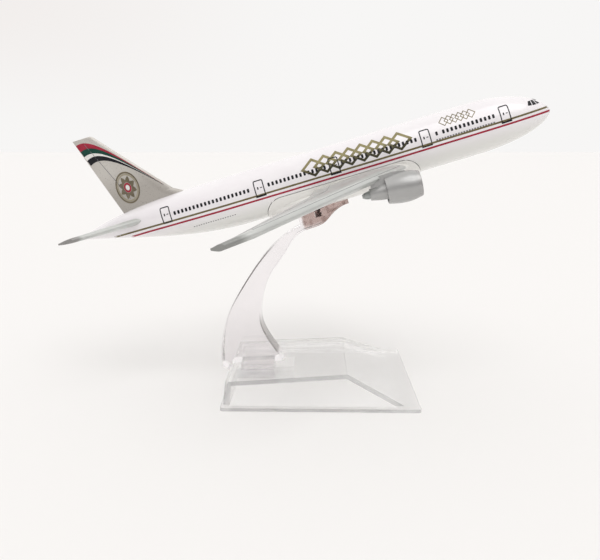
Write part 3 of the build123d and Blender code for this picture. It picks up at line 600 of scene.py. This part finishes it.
def stamp(name, sheets, casting, finish, presses, count=1, pitch=(0, 0, 0)):
    """Rolls flat sheets onto a casting from each press direction, as one plain mesh on the aircraft."""
    flat = bpy.data.meshes.new(name + "_flat")
    bm = bmesh.new()
    for rows, closed in sheets:
        slab(bm, rows, closed)
    bm.to_mesh(flat)
    bm.free()
    whole = bmesh.new()
    for press in presses:
        worker = bpy.data.objects.new(name + "_worker", flat)
        bpy.context.scene.collection.objects.link(worker)
        modifier = worker.modifiers.new("roll", "NODES")
        modifier.node_group = stamp_tree
        values = {
            "Casting": NODES[casting], "Count": count, "Pitch": tuple(pitch), "Press Direction": tuple(press),
            "Proud": INK_PROUD * MM, "Sunk": INK_SUNK * MM, "Ink": finish,
        }
        for key, value in values.items():
            modifier[SOCKET_IDS[key]] = value
        depsgraph = bpy.context.evaluated_depsgraph_get()
        rolled_mesh = bpy.data.meshes.new_from_object(worker.evaluated_get(depsgraph))
        whole.from_mesh(rolled_mesh)
        bpy.data.objects.remove(worker)
    bmesh.ops.recalc_face_normals(whole, faces=whole.faces)
    mesh = bpy.data.meshes.new(name)
    whole.to_mesh(mesh)
    whole.free()
    mesh.materials.clear()
    mesh.materials.append(finish)
    piece = bpy.data.objects.new(name, mesh)
    bpy.context.scene.collection.objects.link(piece)
    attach(piece, "aircraft")
    print(name, "faces:", len(mesh.polygons))


# %% [markdown]
# ## Cheat lines
# Two thin stripes run from the nose to the tail, a gold one over a red one. On the real model they dip under
# the tail, because they stay level while the tail cone rises.

# %% Cheat lines
LINE_WIDTH = 0.58
LINE_GAP = 1.35
line_path = [(0.7, -1.4), (14.0, -1.5), (60.0, -1.65), (110.0, -1.55), (138.0, -1.3), (145.0, -1.4)]
gold_path = [(station, height + LINE_GAP) for station, height in line_path[:-1]] + [(151.0, 0.1)]
stamp("red_cheat_line", [(on_side(stroke(line_path, LINE_WIDTH)), False)], "fuselage", RED, BOTH_SIDES)
stamp("gold_cheat_line", [(on_side(stroke(gold_path, LINE_WIDTH)), False)], "fuselage", GOLD, BOTH_SIDES)

# %% [markdown]
# ## Windows
# The cabin windows are rows of small black prints at one pitch, broken by the doors. The flat print is a
# rounded rectangle, and the tree repeats it. The rows are given as a first station and a number of windows.

# %% Cabin windows
WINDOW_PITCH = 1.349
WINDOW_HEIGHT = 2.22
WINDOW_SIZE = (0.74, 1.24)
WINDOW_CORNER = 0.24
WINDOW_ROWS = {
    "forward": (20.2, 13), "single": (38.6, 1), "ahead_of_wing": (45.5, 19), "over_wing": (75.6, 15),
    "aft": (101.5, 20),
}


def rounded_rows(centre, size, corner, cuts=4):
    """Rows across a filled rounded rectangle, from its foot to its head."""
    half_w, half_h = size[0] / 2, size[1] / 2
    rows = []
    for end in (-1, 1):
        for n in range(cuts + 1):
            turn = math.radians(90 * n / cuts)
            inset = corner * (1 - math.sin(turn)) if end < 0 else corner * (1 - math.cos(turn))
            rise = corner * (1 - math.cos(turn)) if end < 0 else corner * (1 - math.sin(turn))
            height = centre[1] + end * (half_h - rise)
            width = half_w - inset
            rows.append([(centre[0] - width, height), (centre[0] + width, height)])
    return rows


for row_name, (first_station, number) in WINDOW_ROWS.items():
    window = rounded_rows((first_station, WINDOW_HEIGHT), WINDOW_SIZE, WINDOW_CORNER)
    stamp(
        "windows_" + row_name, [(on_side(window), False)], "fuselage", BLACK, BOTH_SIDES,
        count=number, pitch=-AHEAD * WINDOW_PITCH * MM,
    )

# %% [markdown]
# ## Doors
# Each door is a thin outline with rounded corners, a heavier sill, and a small window and handle. An outline
# is one closed stroke round the corners.

# %% Doors
DOOR_SIZE = (3.0, 5.0)
DOOR_CORNER = 0.45
DOOR_LINE = 0.34
SILL_LINE = 0.6
SILL_HALF = 1.75
PORT_AT = (0.45, 0.1)
PORT_SIZE = (0.42, 0.82)
PORT_CORNER = 0.15
HANDLE_ENDS = (-0.95, -0.3)
HANDLE_RISE = 0.1
HANDLE_LINE = 0.26
DOORS = {"1": (16.45, 1.9), "2": (42.3, 1.9), "3": (72.5, 1.95), "4": (97.8, 1.95), "5": (130.3, 2.45)}


def rounded_loop(centre, size, corner, cuts=3):
    """Corners of a rounded rectangle, going round once."""
    points = []
    for quarter in range(4):
        sign_x = 1 if quarter in (0, 3) else -1
        sign_y = 1 if quarter in (0, 1) else -1
        middle = Vector(centre) + Vector((sign_x * (size[0] / 2 - corner), sign_y * (size[1] / 2 - corner)))
        for n in range(cuts + 1):
            turn = math.radians(90 * (quarter + n / cuts))
            points.append(middle + Vector((math.cos(turn), math.sin(turn))) * corner)
    return points


for door_name, (station, height) in DOORS.items():
    sill_height = height - DOOR_SIZE[1] / 2
    sill = [(station - SILL_HALF, sill_height), (station + SILL_HALF, sill_height)]
    port = rounded_rows((station + PORT_AT[0], height + PORT_AT[1]), PORT_SIZE, PORT_CORNER)
    handle = [(station + end, height + HANDLE_RISE) for end in HANDLE_ENDS]
    outline = stroke(rounded_loop((station, height), DOOR_SIZE, DOOR_CORNER), DOOR_LINE, closed=True)
    sheets = [
        (on_side(outline), True), (on_side(stroke(sill, SILL_LINE)), False),
        (on_side(port), False), (on_side(stroke(handle, HANDLE_LINE)), False),
    ]
    stamp("door_" + door_name, sheets, "fuselage", BLACK, BOTH_SIDES)

# %% [markdown]
# ## Ornament in place of lettering
# Where an airliner carries its titles, this one carries a generic gold chain of interlaced lozenges. Each
# lozenge overlaps the next by half, and the tree repeats a single one.

# %% Gold lozenge chain
CHAIN_START = 50.4
CHAIN_PITCH = 4.1
CHAIN_COUNT = 8
LOZENGE_HALF = (3.6, 2.55)
CHAIN_HEIGHT = 3.3
CHAIN_LINE = 0.78


def lozenge(centre, half):
    """Four corners of a lozenge."""
    x, y = centre
    return [(x - half[0], y), (x, y + half[1]), (x + half[0], y), (x, y - half[1])]


chain_link = stroke(lozenge((CHAIN_START, CHAIN_HEIGHT), LOZENGE_HALF), CHAIN_LINE, closed=True)
stamp(
    "gold_lozenge_chain", [(on_side(chain_link), True)], "fuselage", TITLES, BOTH_SIDES,
    count=CHAIN_COUNT, pitch=-AHEAD * CHAIN_PITCH * MM,
)

# %% Small nose ornament
SMALL_CHAIN_AT = (26.6, 5.2)
SMALL_LOZENGE_HALF = (1.5, 1.35)
SMALL_CHAIN_LINE = 0.22
SMALL_CHAIN_COUNT = 6
SMALL_CHAIN_PITCH = 1.75
small_link = stroke(lozenge(SMALL_CHAIN_AT, SMALL_LOZENGE_HALF), SMALL_CHAIN_LINE, closed=True)
stamp(
    "small_gold_chain", [(on_side(small_link), True)], "fuselage", GOLD, BOTH_SIDES,
    count=SMALL_CHAIN_COUNT, pitch=-AHEAD * SMALL_CHAIN_PITCH * MM,
)

# %% [markdown]
# ## Fine dashes
# Small print is too fine to read at this scale, so rows of plain dashes stand for it. Each row is given as
# its first station, its height, the length and width of a dash, their number and their pitch.

# %% Fine dashes
DASHES = {
    "nose": (20.2, 0.28, 0.55, 0.42, 22, 0.88),
    "tail": (107.8, -4.0, 0.45, 0.26, 18, 0.85),
}
for row_name, (station, height, length, width, number, pitch) in DASHES.items():
    dash = stroke([(station, height), (station + length, height)], width)
    stamp(
        f"fine_{row_name}_dashes", [(on_side(dash), False)], "fuselage", GREY, BOTH_SIDES,
        count=number, pitch=-AHEAD * pitch * MM,
    )

# %% [markdown]
# ## Cockpit
# The cockpit glazing wraps round the nose in eight black panes, three on each side and two in front, with
# thin white posts between them. The side panes are pressed from the side and the front pair from above,
# because a pad only prints what faces it.


# %% Cockpit panes
def pane(foot, head, steps=4):
    """Rows that fill a four-sided pane between its lower and its upper edge."""
    low_a, low_b = Vector(foot[0]), Vector(foot[1])
    high_a, high_b = Vector(head[0]), Vector(head[1])
    columns = [
        (low_a.lerp(low_b, k / steps), high_a.lerp(high_b, k / steps)) for k in range(steps + 1)
    ]
    return [[low.lerp(high, n / steps) for low, high in columns] for n in range(steps + 1)]


SIDE_PANES = (
    (((3.75, 1.95), (4.85, 1.8)), ((4.35, 2.45), (5.4, 3.3))),
    (((5.15, 1.8), (6.55, 1.85)), ((5.75, 3.45), (6.6, 3.5))),
    (((6.85, 1.9), (8.3, 2.1)), ((6.85, 3.5), (7.75, 3.4))),
)
FRONT_PANES = [
    (((3.75, 0.14 * side), (4.4, 2.0 * side)), ((5.0, 0.14 * side), (5.3, 1.8 * side)))
    for side in (-1, 1)
]
side_sheets = [(on_side(pane(foot, head)), False) for foot, head in SIDE_PANES]
stamp("cockpit_side_panes", side_sheets, "fuselage", BLACK, BOTH_SIDES)
front_sheets = [(on_top(pane(foot, head)), False) for foot, head in FRONT_PANES]
stamp("cockpit_front_panes", front_sheets, "fuselage", BLACK, (-UP,))

# %% [markdown]
# ## Fin
# The fin carries four bands that start level at the rudder and then sweep down along the leading edge to a
# point. Both outer edges are one Bezier curve each, and the edges between them are blends of the two. Each
# band has its share of the width at the rudder and its share at the point, so the white one tapers away.

# %% Fin bands
BAND_TOP = [Vector(p) for p in ((153.4, 32.7), (148.5, 34.0), (144.5, 30.0), (129.3, 12.3))]
BAND_LOW = [Vector(p) for p in ((150.8, 25.1), (146.5, 27.4), (141.0, 24.4), (129.2, 12.0))]
BAND_STEPS = 48
BANDS = {
    "red": ((0.0, 0.31), (0.0, 0.22), RED), "green": ((0.31, 0.56), (0.22, 0.6), GREEN),
    "white": ((0.56, 0.75), (0.6, 0.66), WHITE_INK), "black": ((0.75, 1.0), (0.66, 1.0), BLACK),
}


def bezier(points, t):
    """Point of a cubic Bezier curve."""
    weights = ((1 - t) ** 3, 3 * t * (1 - t) ** 2, 3 * t**2 * (1 - t), t**3)
    return sum((point * weight for point, weight in zip(points, weights)), Vector((0, 0)))


for band_name, (at_rudder, at_point, finish) in BANDS.items():
    rows = []
    for n in range(BAND_STEPS + 1):
        upper, lower = bezier(BAND_TOP, n / BAND_STEPS), bezier(BAND_LOW, n / BAND_STEPS)
        start, end = (a + (b - a) * n / BAND_STEPS for a, b in zip(at_rudder, at_point))
        rows.append([upper.lerp(lower, start + (end - start) * k / 3) for k in range(4)])
    stamp("fin_band_" + band_name, [(on_side(rows), False)], "fin", finish, BOTH_SIDES)

# %% [markdown]
# ## Rudder
# The hinge of the rudder is one fine line down the fin.

# %% Rudder line
RUDDER_HINGE = [(150.7, 33.0), (144.7, 18.7), (141.5, 10.9)]
RUDDER_LINE = 0.16
rudder = stroke(RUDDER_HINGE, RUDDER_LINE)
stamp("rudder_line", [(on_side(rudder), False)], "fin", GREY, BOTH_SIDES)

# %% [markdown]
# ## Medallion
# A generic gold medallion with an eight-point star stands where a crest would be. It is an upright oval of
# five prints: four rings and a boss, each given as its outer and inner radius, how deep its points are cut,
# and its ink.

# %% Fin medallion
MEDALLION = Vector((141.2, 14.7))
OVAL = (0.88, 1.18)


def disc_rows(centre, outer, inner, points=48, star=0.0, arms=8):
    """Ring of rows between two radii. A star depth makes the outer radius swing in and out."""
    rows = []
    for n in range(points):
        turn = math.tau * n / points
        swing = 1 - star * abs((n * arms * 2 / points) % 2 - 1)
        away = Vector((math.cos(turn) * OVAL[0], math.sin(turn) * OVAL[1]))
        reach = outer * swing
        rows.append([centre + away * reach, centre + away * (reach + inner) / 2, centre + away * inner])
    return rows


MEDALLION_RINGS = {
    "rim": (4.6, 4.1, 0.0, CREST), "field": (4.0, 3.55, 0.0, CREST_PALE), "star": (3.45, 1.5, 0.36, CREST),
    "ring": (1.4, 0.85, 0.0, RED), "boss": (0.7, 0.05, 0.0, WHITE_INK),
}
for ring_name, (outer, inner, star, finish) in MEDALLION_RINGS.items():
    rows = disc_rows(MEDALLION, outer, inner, star=star)
    stamp("medallion_" + ring_name, [(on_side(rows), True)], "fin", finish, BOTH_SIDES)

# %% [markdown]
# ## Control surfaces
# Fine engraved lines mark the flaps, ailerons, slats and elevators. At this scale a scribed line is a hair
# wide, so a thin grey stroke pressed from above stands for it.

# %% Wing and tailplane lines
SCRIBE_WIDTH = 0.13
WING_LINES = [
    [(75.5, 9.6), (77.0, 24.0), (99.0, 62.5)], [(52.6, 10.0), (96.6, 63.2)],
    [(81.2, 24.5), (77.2, 24.0)], [(89.6, 41.5), (86.6, 41.0)], [(98.8, 60.5), (97.3, 59.8)],
]
TAIL_LINES = [[(149.0, 4.6), (158.4, 21.6)], [(149.0, 4.6), (152.4, 4.6)]]
SURFACES = {
    "wing_lines": ("wing_casting", WING_LINES, (-1, 1)),
    "tail_lines_left": ("tailplane_left", TAIL_LINES, (1,)),
    "tail_lines_right": ("tailplane_right", TAIL_LINES, (-1,)),
}
for name, (casting, lines, sides) in SURFACES.items():
    sheets = [
        (on_top(stroke([(station, side * y) for station, y in path], SCRIBE_WIDTH)), False)
        for path in lines for side in sides
    ]
    stamp(name, sheets, casting, GREY, (-UP,))
